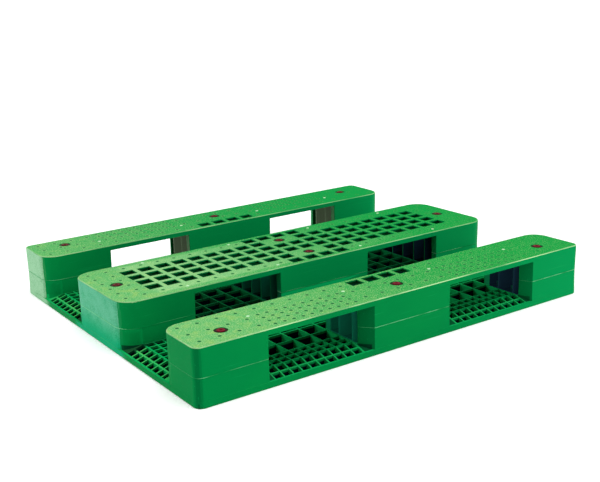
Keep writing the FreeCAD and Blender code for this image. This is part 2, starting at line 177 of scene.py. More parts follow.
class Shader:
    """Builds the node tree of one material."""

    def __init__(self, name: str) -> None:
        """Start a material with an empty tree.

        Args:
            name: The material's name.
        """
        self.material = bpy.data.materials.new(name)
        self.material.use_nodes = True
        self.tree = self.material.node_tree
        self.tree.nodes.clear()

    def node(
        self,
        kind: str,
        settings: dict[str, object] | None = None,
        inputs: dict[str | int, object] | None = None,
        output: str | int = 0,
    ) -> Signal:
        """Add a node, set it up and wire it.

        Args:
            kind: The node's type.
            settings: Attributes to set before the sockets, such as a Math node's operation.
            inputs: A value or a Signal for each socket that isn't left at its default.
            output: Name or number of the output to return.

        Returns:
            The chosen output.
        """
        node = self.tree.nodes.new(kind)
        for name, setting in (settings or {}).items():
            setattr(node, name, setting)
        for key, source in (inputs or {}).items():
            if isinstance(source, Signal):
                self.tree.links.new(source.socket, node.inputs[key])
            else:
                node.inputs[key].default_value = source
        return Signal(self, node.outputs[output])

    def place(self, stretch: Point = (1.0, 1.0, 1.0)) -> Signal:
        """Object coordinates in metres, stretched along the axes.

        Args:
            stretch: Factor on each axis.

        Returns:
            The coordinates.
        """
        place = self.node("ShaderNodeTexCoord", output="Object")
        return self.node("ShaderNodeMapping", {}, {"Vector": place, "Scale": stretch})

    def noise(self, place: Signal, per_metre: float, detail: float = 2.0) -> Signal:
        """Noise between 0 and 1.

        Args:
            place: Coordinates to read it at.
            per_metre: How many lumps there are to the metre.
            detail: Octaves of finer noise.

        Returns:
            The noise.
        """
        inputs = {"Vector": place, "Scale": per_metre, "Detail": detail}
        return self.node("ShaderNodeTexNoise", {}, inputs)

    def mix(self, first: Signal | Colour, second: Signal | Colour, factor: Operand) -> Signal:
        """Colour between two colours.

        Args:
            first: Colour where the factor is 0.
            second: Colour where the factor is 1.
            factor: How much of the second colour shows.

        Returns:
            The mixed colour.
        """
        factor_socket, first_socket, second_socket, colour_output = 0, 6, 7, 2
        inputs = {factor_socket: factor, first_socket: first, second_socket: second}
        return self.node("ShaderNodeMix", {"data_type": "RGBA"}, inputs, colour_output)

    def facing(self, axis: str) -> Signal:
        """How far the surface itself faces along an axis, from -1 to 1."""
        normal = self.node("ShaderNodeNewGeometry", output="True Normal")
        return self.node("ShaderNodeSeparateXYZ", {}, {0: normal}, axis)

    def along(self, axis: str) -> Signal:
        """Object coordinate along one axis, in metres."""
        return self.node("ShaderNodeSeparateXYZ", {}, {0: self.place()}, axis)

    def away(self, axis: str) -> Signal:
        """Distance from the pallet's middle plane across one axis, in metres."""
        return self.node("ShaderNodeMath", {"operation": "ABSOLUTE"}, {0: self.along(axis)})

    def bump(self, height: Signal, strength: float, depth: float) -> Signal:
        """Normal of a relief.

        Args:
            height: Height of the relief, from 0 to 1.
            strength: How strongly the relief shows.
            depth: Depth of the relief, in metres.

        Returns:
            The bent normal.
        """
        inputs = {"Strength": strength, "Distance": depth, "Height": height}
        return self.node("ShaderNodeBump", {}, inputs)

    def finish(self, inputs: dict[str | int, object]) -> bpy.types.Material:
        """Close the tree with a Principled shader.

        Args:
            inputs: Values and Signals for the Principled shader's sockets.

        Returns:
            The finished material.
        """
        surface = self.node("ShaderNodeBsdfPrincipled", {}, inputs)
        output = self.tree.nodes.new("ShaderNodeOutputMaterial")
        self.tree.links.new(surface.socket, output.inputs["Surface"])
        return self.material


# ------------------------------------------------------------------ finishes
#
# A Span holds the two values between which an effect comes in: places in metres, facings from
# -1 to 1, or noise from 0 to 1. A share is how much of an effect shows, a loss is how much of it
# a place takes away, and a name with "by" says how much a noise or the painted light adds to it.
# Many of these colours are painted light and shade, not colours of the plastic.

@dataclass(frozen=True)
class Finish:
    """What every finish of the pallet has: a name, a roughness, a sheen and a fine relief."""

    name: str
    roughness: float = 0.42
    specular: float = 0.010
    relief: float = 0.0001
    relief_strength: float = 0.4
    mottled_roughness: float = 0.2

    def coat(self, shader: Shader, body: Signal, mottle: Signal, height: Signal) -> bpy.types.Material:
        """Finish a material that has mottled roughness and a fine relief.

        Args:
            shader: The shader.
            body: Its colour.
            mottle: Noise that its roughness follows.
            height: Noise that its relief follows.

        Returns:
            The material, on object coordinates.
        """
        least = self.roughness - self.mottled_roughness / 2
        return shader.finish({
            "Base Color": body,
            "Roughness": mottle * self.mottled_roughness + least,
            "Normal": shader.bump(height, self.relief_strength, self.relief),
            "Specular IOR Level": self.specular,
        })


@dataclass(frozen=True)
class MouldedPlastic(Finish):
    """Satin polyethylene with a fine moulded grain, with painted light: lighter tops that carry a
    painted sheen mixed with dust, highlights, reflections and shade.
    """

    colour: Colour = (0.0004, 0.192, 0.045, 1.0)
    warm: Colour = (0.0008, 0.212, 0.047, 1.0)
    # Painted light: a brighter, fuller green to the right and on the middles of the centre and far
    # runners.
    brightened: Colour = (0.0006, 0.270, 0.072, 1.0)
    # Painted light: the lighter green of every face that looks up.
    lit_top: Colour = (0.002, 0.305, 0.047, 1.0)
    # The next two colours are a painted sheen mixed with dust: pale on the tops, most at the left end.
    pale_top: Colour = (0.185, 0.500, 0.182, 1.0)
    warm_pale_top: Colour = (0.300, 0.520, 0.130, 1.0)
    scuffed: Colour = (0.008, 0.330, 0.085, 1.0)
    fleck: Colour = (0.480, 0.640, 0.260, 1.0)
    # Painted highlight: the pale line along bevelled edges and on the rib tops of the centre runner's
    # grid.
    painted_highlight: Colour = (0.520, 0.780, 0.400, 1.0)
    # The next three colours are a painted reflection on the left ends of the centre and far runners.
    far_end_sheen: Colour = (0.260, 0.480, 0.290, 1.0)
    high_end_sheen: Colour = (0.100, 0.400, 0.240, 1.0)
    low_end_sheen: Colour = (0.004, 0.330, 0.150, 1.0)
    # Painted shade on the near runner's rounded front-left corner.
    corner_shade: Colour = (0.0003, 0.115, 0.030, 1.0)
    # Painted shade: the near-black of the deck's cells and of the runners' holes.
    deep_shade: Colour = (0.001, 0.006, 0.009, 1.0)
    gloss: Colour = (0.150, 1.000, 0.450, 1.0)
    unlit: Colour = (0.0, 0.0, 0.0, 1.0)
    relief: float = 0.00015
    relief_strength: float = 0.6
    clouds_per_metre: float = 6.0
    patches_per_metre: float = 42.0
    specks_per_metre: float = 330.0
    grain_per_metre: float = 900.0
    cloud_roughness: float = 0.08
    grain_roughness: float = 0.10
    dust_roughness: float = 0.10
    speck_height: float = 0.6
    patch_height: float = 0.5
    upward: Span = (0.80, 0.97)
    warm_clouds: Span = (0.35, 0.70)
    # Where the painted brighter green comes in, and how much.
    brightened_along: Span = (0.0, 0.65)
    brightened_centre: Span = (0.20, 0.16)
    brightened_far: Span = (0.30, 0.32)
    brightened_far_share: float = 0.7
    brightened_inner_along: Span = (-0.40, -0.15)
    brightened_inner_share: float = 0.85
    # How much less of the painted lighter top the far runner gets.
    lit_top_across: Span = (-0.35, 0.45)
    lit_top_loss: float = 0.30
    # The painted light's fall from the left end to the right, less on the far runner.
    light_along: Span = (-0.75, 0.55)
    light_across: Span = (-0.30, 0.45)
    far_shade: float = 0.32
    # How much of the painted sheen and dust the tops get, and what adds to it.
    dust_and_sheen_share: float = 1.0
    pale_by_light: float = 0.95
    dust_by_patch: float = 0.50
    dust_by_speck: float = 0.70
    dust_specks: Span = (0.38, 0.66)
    clean: float = 0.65
    warm_patches: Span = (0.36, 0.85)
    fleck_specks: Span = (0.58, 0.68)
    fleck_share: float = 0.30
    fleck_by_light: float = 0.40
    fleck_across: Span = (-0.36, -0.10)
    fleck_loss: float = 0.14
    # Shape and mottle of the painted reflection on the left ends.
    end_sheen_height: Span = (0.02, 0.09)
    far_end_sheen_across: Span = (0.20, 0.40)
    end_sheen_edge: float = 0.015
    end_sheen_facing: Span = (-0.86, -0.98)
    end_sheen_along: Span = (-0.54, -0.59)
    end_sheen_round_facing: Span = (-0.30, -0.95)
    end_sheen_round_across: Span = (0.42, 0.43)
    end_sheen_specks: Span = (0.36, 0.64)
    end_sheen_base: float = 0.25
    end_sheen_by_patch: float = 0.8
    end_sheen_by_speck: float = 0.55
    # Where the painted corner shade falls, and how much.
    corner_facing: Span = (-0.15, -0.60)
    corner_across: Span = (-0.40, -0.45)
    corner_share: float = 0.75
    scuff_stretch: Point = (7.0, 180.0, 180.0)
    scuff_noise: Span = (0.62, 0.78)
    scuff_share: float = 0.5
    # Where the painted highlights fall, on the grid ribs and the bevelled edges, and how strong they
    # are.
    rib_across: Span = (0.132, 0.120)
    rib_along: Span = (0.50, 0.47)
    rib_share: float = 0.34
    edge_facing: Span = (0.45, 0.96)
    edge_softness: float = 0.03
    edge_clouds: Span = (0.38, 0.62)
    edge_share: float = 0.35
    highlight_strength: float = 0.80
    highlight_across: Span = (-0.33, -0.18)
    highlight_loss: float = 0.38

    def material(self) -> bpy.types.Material:
        """Build the material.

        Returns:
            The material, on object coordinates.
        """
        shader = Shader(self.name)
        place = shader.place()
        clouds = shader.noise(place, self.clouds_per_metre, LUMPY)
        patches = shader.noise(place, self.patches_per_metre, LUMPY)
        grain = shader.noise(place, self.grain_per_metre)
        specks = shader.noise(place, self.specks_per_metre)
        upward = shader.facing("Z").ramp(*self.upward)

        body = shader.mix(self.colour, self.warm, clouds.ramp(*self.warm_clouds))
        # Painted light: a brighter green to the right and on the middles of the centre and far runners.
        body = shader.mix(body, self.brightened, self.brightening(shader))
        # Painted light: faces that look up are painted lighter, less so on the far runner.
        lit_top = 1.0 - shader.along("Y").ramp(*self.lit_top_across) * self.lit_top_loss
        body = shader.mix(body, self.lit_top, upward * lit_top)
        # Painted sheen mixed with dust on the tops, with dust flecks.
        body = self.paled(shader, body, upward, patches, specks)
        # Painted reflection on the left ends of the centre and far runners.
        body = shader.mix(body, self.end_sheen(shader, patches), self.end_sheen_share(shader, patches, specks))
        # Scuffs, painted shade on the near corner, and painted highlights on edges and ribs.
        body = self.marks_and_light(shader, body, upward, clouds)
        # Painted shade in recesses, where a finish has any.
        body = self.shaded(shader, body)

        relief = grain + specks * self.speck_height + patches * self.patch_height
        rough = clouds * self.cloud_roughness + grain * self.grain_roughness
        least = self.roughness - (self.cloud_roughness + self.grain_roughness) / 2
        return shader.finish({
            "Base Color": body,
            "Roughness": rough + upward * self.dust_roughness + least,
            "Normal": shader.bump(relief, self.relief_strength, self.relief),
            "Specular IOR Level": self.specular,
            "Specular Tint": self.gloss,
            # Painted glow, where a finish has any.
            "Emission Color": self.glow(shader),
            "Emission Strength": 1.0,
        })

    def brightening(self, shader: Shader) -> Signal:
        """How much painted light brightens the colour: more to the right, and on the centre and far
        runners.

        Args:
            shader: The shader.

        Returns:
            A value from 0 to 1.
        """
        centre = shader.away("Y").ramp(*self.brightened_centre)
        inner = centre + shader.along("Y").ramp(*self.brightened_far) * self.brightened_far_share
        inner_along = shader.along("X").ramp(*self.brightened_inner_along) * self.brightened_inner_share
        return shader.along("X").ramp(*self.brightened_along).most(inner * inner_along)

    def painted_light(self, shader: Shader) -> Signal:
        """How strong the painted light is at a place: most at the left end, least on the far runner.

        Args:
            shader: The shader.

        Returns:
            A value that is 1 at most, and may be below 0.
        """
        along = shader.along("X").ramp(*self.light_along)
        return 1.0 - along - shader.along("Y").ramp(*self.light_across) * self.far_shade

    def paled(
        self, shader: Shader, body: Signal, upward: Signal, patches: Signal, specks: Signal
    ) -> Signal:
        """Lay a painted sheen mixed with dust on the faces that look up, in patches and specks, and add
        dust flecks whose share follows the painted light.

        Args:
            shader: The shader.
            body: Colour so far.
            upward: How far the surface looks up.
            patches: Noise of small patches.
            specks: Noise of fine specks.

        Returns:
            The colour with its painted sheen, dust and flecks.
        """
        painted_light = self.painted_light(shader)
        # How much painted sheen and dust shows: led by the painted light, broken up by patches and
        # specks.
        dust = painted_light * self.pale_by_light + patches * self.dust_by_patch
        dust = dust + specks.ramp(*self.dust_specks) * self.dust_by_speck - self.clean
        pale = shader.mix(self.pale_top, self.warm_pale_top, patches.ramp(*self.warm_patches) * painted_light)
        body = shader.mix(body, pale, (upward * dust * self.dust_and_sheen_share).least(1.0).most(0.0))
        # Dust flecks, fewer on the centre and far runners and more where the painted light is strong.
        fleck_falloff = shader.along("Y").ramp(*self.fleck_across) * self.fleck_loss
        share = painted_light * self.fleck_by_light + self.fleck_share - fleck_falloff
        flecks = upward * specks.ramp(*self.fleck_specks) * share
        return shader.mix(body, self.fleck, flecks * self.dust_and_sheen_share)

    def end_sheen(self, shader: Shader, patches: Signal) -> Signal:
        """Painted reflection on the ends: bluer low down, paler above, and palest on the far runner.

        Args:
            shader: The shader.
            patches: Noise of small patches.

        Returns:
            The colour.
        """
        height = shader.along("Z").ramp(*self.end_sheen_height)
        low = shader.mix(self.low_end_sheen, self.high_end_sheen, height * (patches + 0.5))
        return shader.mix(low, self.far_end_sheen, shader.along("Y").ramp(*self.far_end_sheen_across))

    def end_sheen_share(self, shader: Shader, patches: Signal, specks: Signal) -> Signal:
        """How much painted reflection a place gets: the left ends of the centre and far runners.

        Args:
            shader: The shader.
            patches: Noise of small patches.
            specks: Noise of fine specks.

        Returns:
            A value from 0 to 1.
        """
        edge = self.end_sheen_edge
        centre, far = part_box("runner_centre")[1][1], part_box("runner_far")[0][1]
        on_centre = shader.away("Y").ramp(centre + edge, centre - 2 * edge)
        on_far = shader.along("Y").ramp(far - edge, far + 2 * edge)
        facing = shader.facing("X")
        rounded = facing.ramp(*self.end_sheen_round_facing) * shader.along("Y").ramp(*self.end_sheen_round_across)
        at_end = facing.ramp(*self.end_sheen_facing).most(rounded) * shader.along("X").ramp(*self.end_sheen_along)
        mottle = patches * self.end_sheen_by_patch + specks.ramp(*self.end_sheen_specks) * self.end_sheen_by_speck
        return at_end * (on_centre + on_far) * (mottle + self.end_sheen_base).least(1.0)

    def marks_and_light(self, shader: Shader, body: Signal, upward: Signal, clouds: Signal) -> Signal:
        """Add the painted shade on the near runner's corner, the scuffs, and the painted highlights of
        the ribs and edges.

        Args:
            shader: The shader.
            body: Colour so far.
            upward: How far the surface looks up.
            clouds: Noise of large clouds.

        Returns:
            The marked colour.
        """
        # Painted shade on the near runner's rounded front-left corner.
        corner = shader.along("Y").ramp(*self.corner_across)
        for axis in ("X", "Y"):
            corner = corner * shader.facing(axis).ramp(*self.corner_facing)
        body = shader.mix(body, self.corner_shade, corner * self.corner_share)
        scuffs = shader.noise(shader.place(self.scuff_stretch), 1.0, LUMPY).ramp(*self.scuff_noise)
        body = shader.mix(body, self.scuffed, scuffs * self.scuff_share)
        # Painted highlight on the rib tops of the centre runner's grid, strongest at the left end.
        ribs = shader.away("Y").ramp(*self.rib_across) * shader.away("X").ramp(*self.rib_along)
        ribs = upward * ribs * self.painted_light(shader)
        body = shader.mix(body, self.painted_highlight, ribs * (self.dust_and_sheen_share * self.rib_share))
        # Painted highlight along the bevelled edges, broken up by clouds.
        edges = shader.facing("Z").between(*self.edge_facing, self.edge_softness)
        highlight_mottle = clouds.ramp(*self.edge_clouds) * (1.0 - self.edge_share) + self.edge_share
        return shader.mix(body, self.painted_highlight, edges * highlight_mottle * self.highlighted(shader))

    def glow(self, shader: Shader) -> Signal | Colour:
        """Painted glow, which a plain moulding has none of."""
        return self.unlit

    def highlighted(self, shader: Shader) -> Signal:
        """How strong the painted highlight on the edges is, which is less on the centre and far runners.
        """
        return (1.0 - shader.along("Y").ramp(*self.highlight_across) * self.highlight_loss) * self.highlight_strength

    def shaded(self, shader: Shader, body: Signal) -> Signal:
        """Add painted shade to recesses, which a plain moulding has none of."""
        return body


@dataclass(frozen=True)
class BlockPlastic(MouldedPlastic):
    """Plastic of the runners' blocks, with painted shade and a painted glow behind their window walls
    and under the plates.
    """

    # The next three colours are painted shade inside the blocks: greener at one end, darker at the
    # other, paler at the back.
    green_inside_shade: Colour = (0.005, 0.150, 0.082, 1.0)
    dark_inside_shade: Colour = (0.012, 0.036, 0.062, 1.0)
    pale_inside_shade: Colour = (0.170, 0.220, 0.140, 1.0)
    inside_shade_along: Span = (-0.16, 0.30)
    inside_shade_across: Span = (0.30, 0.35)
    # How strong the painted glow inside the outer blocks is.
    painted_glow_share: float = 0.16
    plate_underside: float = 0.131
    shade_run: float = 0.014
    plate_top: float = 0.1378
    upright: Span = (0.35, 0.10)
    # Painted shade on the walls of the runners' holes.
    hole_run: float = 0.004
    hole_end: float = 0.520
    hole_shade: float = 0.70
    middle_cells: float = 0.1440
    middle_face: float = 0.1465
    end_cells: Span = (0.4040, 0.5100)
    end_face: float = 0.4015
    centre_cells: float = 0.1440
    centre_fins: float = 0.1280
    outer_cells: Span = (0.3435, 0.4655)
    outer_fins: Span = (0.3620, 0.4650)
    # How much painted shade the fins in the windows get.
    centre_fin_shade: float = 0.35
    outer_fin_shade: float = 0.94

    def painted_shade(self, shader: Shader) -> Signal:
        """Painted shade colour of the blocks' inside: greener at one end, darker at the other and paler
        at the back.
        """
        tone = shader.mix(self.green_inside_shade, self.dark_inside_shade, shader.along("X").ramp(*self.inside_shade_along))
        return shader.mix(tone, self.pale_inside_shade, shader.along("Y").ramp(*self.inside_shade_across))

    def under_plate(self, shader: Shader) -> Signal:
        """1 well below the plates, going to 0 at their underside."""
        return shader.along("Z").ramp(self.plate_underside, self.plate_underside - self.shade_run)

    def glow(self, shader: Shader) -> Signal | Colour:
        """A painted glow that lights the inside of the outer blocks under their plates.

        Args:
            shader: The shader.

        Returns:
            The light's colour.
        """
        along = shader.away("X")
        in_middle = along.ramp(self.middle_face + SOFT / 2, self.middle_face)
        in_end = along.between(self.end_face, self.end_cells[1])
        inside = (in_middle + in_end) * shader.away("Y").between(*self.outer_cells)
        lit = inside * self.under_plate(shader) * self.painted_glow_share
        return shader.mix(self.unlit, self.painted_shade(shader), lit)

    def shaded(self, shader: Shader, body: Signal) -> Signal:
        """Paint shade inside the blocks, on the fins that end in their windows and on the walls of the
        runners' holes.

        Args:
            shader: The shader.
            body: Colour so far.

        Returns:
            The colour with its painted shade.
        """
        along, across = shader.away("X"), shader.away("Y")
        in_block = along.ramp(self.middle_face, self.middle_cells) + along.between(*self.end_cells)
        in_centre = across.ramp(self.centre_cells + SOFT / 2, self.centre_cells)
        in_runner = in_centre + across.between(*self.outer_cells)
        at_middle = along.between(self.middle_cells, self.middle_face)
        in_window = at_middle + along.between(self.end_face, self.end_cells[0])
        outer_fins = across.between(*self.outer_fins) * self.outer_fin_shade
        centre_fins = across.ramp(self.centre_fins + SOFT, self.centre_fins) * self.centre_fin_shade
        fins = in_window * (outer_fins + centre_fins)
        # Painted shade inside the blocks and on the fins in their windows, under the plates.
        painted_shade = (in_block * in_runner).most(fins) * self.under_plate(shader)
        body = shader.mix(body, self.painted_shade(shader), painted_shade)

        # Painted shade on the walls of the holes in the runners' plates, darker below the top.
        height = shader.along("Z")
        in_hole = in_runner * along.ramp(self.hole_end + SOFT, self.hole_end)
        in_hole = in_hole * shader.facing("Z").ramp(*self.upright)
        in_hole = in_hole * height.ramp(self.plate_underside - SOFT, self.plate_underside)
        deep = height.ramp(self.plate_top, self.plate_top - self.hole_run)
        return shader.mix(body, self.deep_shade, in_hole * deep * self.hole_shade)


@dataclass(frozen=True)
class DeckPlastic(BlockPlastic):
    """The deck's plastic: ribs with painted light and highlights, over lattice cells with painted shade.
    """

    # Painted light: the brighter green of the rib tops.
    lit_top: Colour = (0.003, 0.400, 0.100, 1.0)
    # Painted light on the walls of the ribs that face along X.
    painted_rib_light: Colour = (0.003, 0.380, 0.090, 1.0)
    # Painted highlight on the rib edges, strongest in the tunnels.
    painted_highlight: Colour = (0.130, 0.560, 0.120, 1.0)
    highlight_strength: float = 0.50
    highlight_outside: float = 0.15
    dust_and_sheen_share: float = 0.0
    tunnel_edge: Span = (0.355, 0.335)
    cross_facing: Span = (0.5, 0.8)
    # Where the painted shade in the cells starts, by depth under the rib tops.
    rim_top: float = 0.016
    field_top: float = 0.028
    rim_run: float = 0.045
    rim_wall: float = 0.006
    border_width: float = 0.100
    field_drop: float = 0.012
    cross_drop: float = 0.005
    cell_run: Span = (0.0042, 0.0072)
    # Painted shade under the centre runner, on the flat corners at its ends and at the outer windows'
    # feet.
    runner_shade: Span = (0.028, 0.008)
    runner_share: float = 0.60
    corner_inside: float = 0.030
    corner_outside: float = 0.014
    corner_along: Span = (0.540, 0.550)
    rim_corner_shade: float = 0.85
    foot_length: float = 0.040
    foot_rim: float = 0.004
    foot_shade: float = 0.80

    def highlighted(self, shader: Shader) -> Signal:
        """How strong the painted highlight on the edges is: the ribs of the tunnels more than the rest.
        """
        in_tunnel = shader.away("Y").ramp(*self.tunnel_edge) * (1.0 - self.highlight_outside)
        return (in_tunnel + self.highlight_outside) * self.highlight_strength

    def margin(self, shader: Shader) -> Signal:
        """Distance from the nearest side of the deck, in metres."""
        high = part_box("deck_moulding")[1]
        return (high[0] - shader.away("X")).least(high[1] - shader.away("Y"))

    def shaded(self, shader: Shader, body: Signal) -> Signal:
        """Paint light on the rib walls that face along X, and paint shade in the lattice cells by depth
        under the ribs' tops, under the centre runner and at corners.

        Args:
            shader: The shader.
            body: Colour so far.

        Returns:
            The soiled colour.
        """
        margin = self.margin(shader)
        facing = shader.facing("X")
        cross = (facing * facing).ramp(*self.cross_facing)
        inside = margin.ramp(self.rim_wall - SOFT, self.rim_wall)
        below = shader.along("Z").ramp(self.field_top + SOFT, self.field_top) * inside
        # Painted light on the rib walls that face along X, below the field's top.
        body = shader.mix(super().shaded(shader, body), self.painted_rib_light, cross * below)

        # Painted shade deep in the lattice cells, by depth under the rib tops.
        slope = (self.field_top - self.rim_top) / self.rim_run
        rib_top = (margin * slope + self.rim_top).least(self.field_top)
        in_field = margin.ramp(self.border_width - SOFT, self.border_width + SOFT)
        reach = in_field * self.field_drop * cross + cross * self.cross_drop
        sunk = (rib_top - shader.along("Z") - reach).ramp(*self.cell_run)
        half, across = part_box("runner_centre")[1][1], shader.away("Y")
        shade_start, shade_end = self.runner_shade
        shade = across.ramp(half + shade_start, half + shade_end) * self.runner_share
        corner = across.between(half - self.corner_inside, half + self.corner_outside)
        corner = corner * shader.away("X").ramp(*self.corner_along) * self.rim_corner_shade
        # Painted shade from the cells, under the centre runner, at its ends' flat corners and at the
        # windows' feet.
        painted_shade = sunk.most(shade).most(corner).most(self.foot(shader))
        return shader.mix(body, self.deep_shade, painted_shade * below)

    def foot(self, shader: Shader) -> Signal:
        """Painted shade on the flat corners at the feet of the outer windows' walls.

        Args:
            shader: The shader.

        Returns:
            A value from 0 to 1.
        """
        along = shader.away("X")
        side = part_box("deck_moulding")[1][1] - self.foot_rim
        outside = shader.away("Y").between(self.outer_cells[1], side)
        at_middle = along.between(self.middle_face - self.foot_length, self.middle_face)
        at_end = along.between(self.end_face, self.end_face + self.foot_length)
        return outside * (at_middle + at_end) * self.foot_shade


@dataclass(frozen=True)
class FlashPlastic(MouldedPlastic):
    """The weld's squeezed-out plastic, paler than the rest with a painted highlight along the bead,
    stronger in some stretches than in others.
    """

    pale: Colour = (0.200, 0.620, 0.320, 1.0)
    roughness: float = 0.34
    relief: float = 0.0006
    relief_strength: float = 0.7
    stretches_per_metre: float = 14.0
    stretch_noise: Span = (0.36, 0.62)
    beads_per_metre: float = 160.0
    bead_share: float = 0.45
    share_by_bead: float = 0.7
    end_facing: Span = (-0.5, -0.9)
    side_facing: Span = (-0.5, -0.95)
    near_across: Span = (-0.30, -0.36)
    centre_across: Span = (0.20, 0.18)
    end_loss: float = 0.85
    side_loss: float = 0.75
    shown_along: Span = (-0.60, 0.40)
    left_share: float = 0.45

    def material(self) -> bpy.types.Material:
        """Build the material.

        Returns:
            The material, on object coordinates.
        """
        shader = Shader(self.name)
        place = shader.place()
        stretches = shader.noise(place, self.stretches_per_metre, LUMPY).ramp(*self.stretch_noise)
        beads = shader.noise(place, self.beads_per_metre)
        # How much of the pale flash and painted highlight shows: more to the right, less on the near
        # runner's faces that look to -X and on the centre runner's front sides, and all of it on the
        # centre runner's ends.
        facing = shader.facing("X").ramp(*self.end_facing)
        on_centre = shader.away("Y").ramp(*self.centre_across)
        near_loss = facing * shader.along("Y").ramp(*self.near_across) * self.end_loss
        side_loss = shader.facing("Y").ramp(*self.side_facing) * on_centre * self.side_loss
        along = shader.along("X").ramp(*self.shown_along) * (1.0 - self.left_share) + self.left_share
        centre_end = facing * on_centre
        shown = (along * (1.0 - near_loss - side_loss)).most(centre_end)
        flash = stretches.most(centre_end) * (beads * self.share_by_bead + self.bead_share) * shown
        return self.coat(shader, shader.mix(self.colour, self.pale, flash), beads, beads)


@dataclass(frozen=True)
class GatePlastic(MouldedPlastic):
    """The stretched, almost white plastic of a broken-off gate."""

    stretched: Colour = (0.560, 0.860, 0.520, 1.0)
    roughness: float = 0.22
    specular: float = 0.5
    relief: float = 0.0002
    relief_strength: float = 0.5
    mottle_per_metre: float = 500.0
    pale_mottle: Span = (0.55, 0.80)

    def material(self) -> bpy.types.Material:
        """Build the material.

        Returns:
            The material, on object coordinates.
        """
        shader = Shader(self.name)
        mottle = shader.noise(shader.place(), self.mottle_per_metre)
        body = shader.mix(self.stretched, self.pale_top, mottle.ramp(*self.pale_mottle))
        return self.coat(shader, body, mottle, mottle)


@dataclass(frozen=True)
class StudPlastic(MouldedPlastic):
    """The grip studs: crowns with painted shade, each on a foot with a pale painted highlight."""

    # A pale painted highlight for the foot, and painted shade for the crown.
    foot: Colour = (0.250, 0.560, 0.190, 1.0)
    crown: Colour = (0.006, 0.130, 0.040, 1.0)
    relief: float = 0.0001
    relief_strength: float = 0.3
    mottle_per_metre: float = 400.0
    foot_along: Span = (-0.60, 0.60)
    foot_share: float = 0.7
    foot_top: float = 0.1393
    foot_edge: float = 0.0001
    crown_along: Span = (0.05, 0.50)
    crown_loss: float = 0.65
    crown_share: float = 0.80
    crown_by_mottle: float = 0.3

    def material(self) -> bpy.types.Material:
        """Build the material.

        Returns:
            The material, on object coordinates.
        """
        shader = Shader(self.name)
        mottle = shader.noise(shader.place(), self.mottle_per_metre)
        # Painted highlight: a pale ring round each stud, paler to the left.
        painted_light = 1.0 - shader.along("X").ramp(*self.foot_along)
        pale = painted_light * self.foot_share + mottle * (1.0 - self.foot_share)
        foot = shader.mix(self.lit_top, self.foot, pale)
        # Painted shade on the crowns, less of it to the right.
        crowned = shader.along("Z").ramp(self.foot_top - self.foot_edge, self.foot_top + self.foot_edge)
        lost = shader.along("X").ramp(*self.crown_along) * self.crown_loss
        crown = shader.mix(self.crown, self.lit_top, lost)
        share = mottle * self.crown_by_mottle + self.crown_share
        body = shader.mix(foot, crown, crowned * share)
        return self.coat(shader, body, mottle, mottle)


@dataclass(frozen=True)
class PlugRubber(Finish):
    """Dull red rubber, dark round its flange, with a little pale dust on its crown."""

    colour: Colour = (0.165, 0.002, 0.012, 1.0)
    dark: Colour = (0.026, 0.014, 0.008, 1.0)
    aged: Colour = (0.070, 0.016, 0.006, 1.0)
    dust: Colour = (0.360, 0.070, 0.090, 1.0)
    roughness: float = 0.52
    specular: float = 0.10
    mottle_per_metre: float = 110.0
    grain_per_metre: float = 1500.0
    upward: Span = (0.60, 1.0)
    crown_height: Span = (0.1376, 0.1392)
    aged_across: Span = (-0.38, -0.05)
    aged_share: float = 0.55
    dust_mottle: Span = (0.48, 0.75)
    dust_share: float = 0.3

    def material(self) -> bpy.types.Material:
        """Build the material.

        Returns:
            The material, on object coordinates.
        """
        shader = Shader(self.name)
        mottle = shader.noise(shader.place(), self.mottle_per_metre, LUMPY)
        grain = shader.noise(shader.place(), self.grain_per_metre)
        crown = shader.along("Z").ramp(*self.crown_height)
        age = shader.along("Y").ramp(*self.aged_across) * self.aged_share
        # The dark round the flange is partly dirt and partly painted shade in the plug's recess.
        body = shader.mix(self.dark, shader.mix(self.colour, self.aged, age), crown * crown)
        dust = shader.facing("Z").ramp(*self.upward) * crown * mottle.ramp(*self.dust_mottle)
        body = shader.mix(body, self.dust, dust * self.dust_share)
        return self.coat(shader, body, mottle, grain)


@dataclass(frozen=True)
class PaleFloor:
    """Matt pale studio floor, with a painted shadow under the pallet's cells."""

    name: str
    colour: Colour = (0.93, 0.93, 0.93, 1.0)
    bright: Colour = (0.9486, 0.9486, 0.9486, 1.0)
    # Painted shadow under the pallet.
    painted_shadow: Colour = (0.012, 0.014, 0.016, 1.0)
    unlit: Colour = (0.0, 0.0, 0.0, 1.0)
    mottle_per_metre: float = 1.5
    shadow_margin: float = 0.008
    glow: float = 0.20
    roughness: float = 0.9
    specular: float = 0.1

    def material(self) -> bpy.types.Material:
        """Build the material.

        Returns:
            The material, with a faint unevenness.
        """
        shader = Shader(self.name)
        mottle = shader.noise(shader.place(), self.mottle_per_metre)
        # Painted shadow on the floor under the pallet, seen through its cells; there the floor gives off
        # no glow.
        length, width = (side - self.shadow_margin for side in CAD_BOX[1][:2])
        covered = shader.away("X").ramp(length + SOFT, length)
        covered = covered * shader.away("Y").ramp(width + SOFT, width)
        paper = shader.mix(self.colour, self.bright, mottle)
        return shader.finish({
            "Base Color": shader.mix(paper, self.painted_shadow, covered),
            "Emission Color": shader.mix(self.colour, self.unlit, covered),
            "Emission Strength": self.glow,
            "Roughness": self.roughness,
            "Specular IOR Level": self.specular,
        })


# ------------------------------------------------------------------ modelling helpers

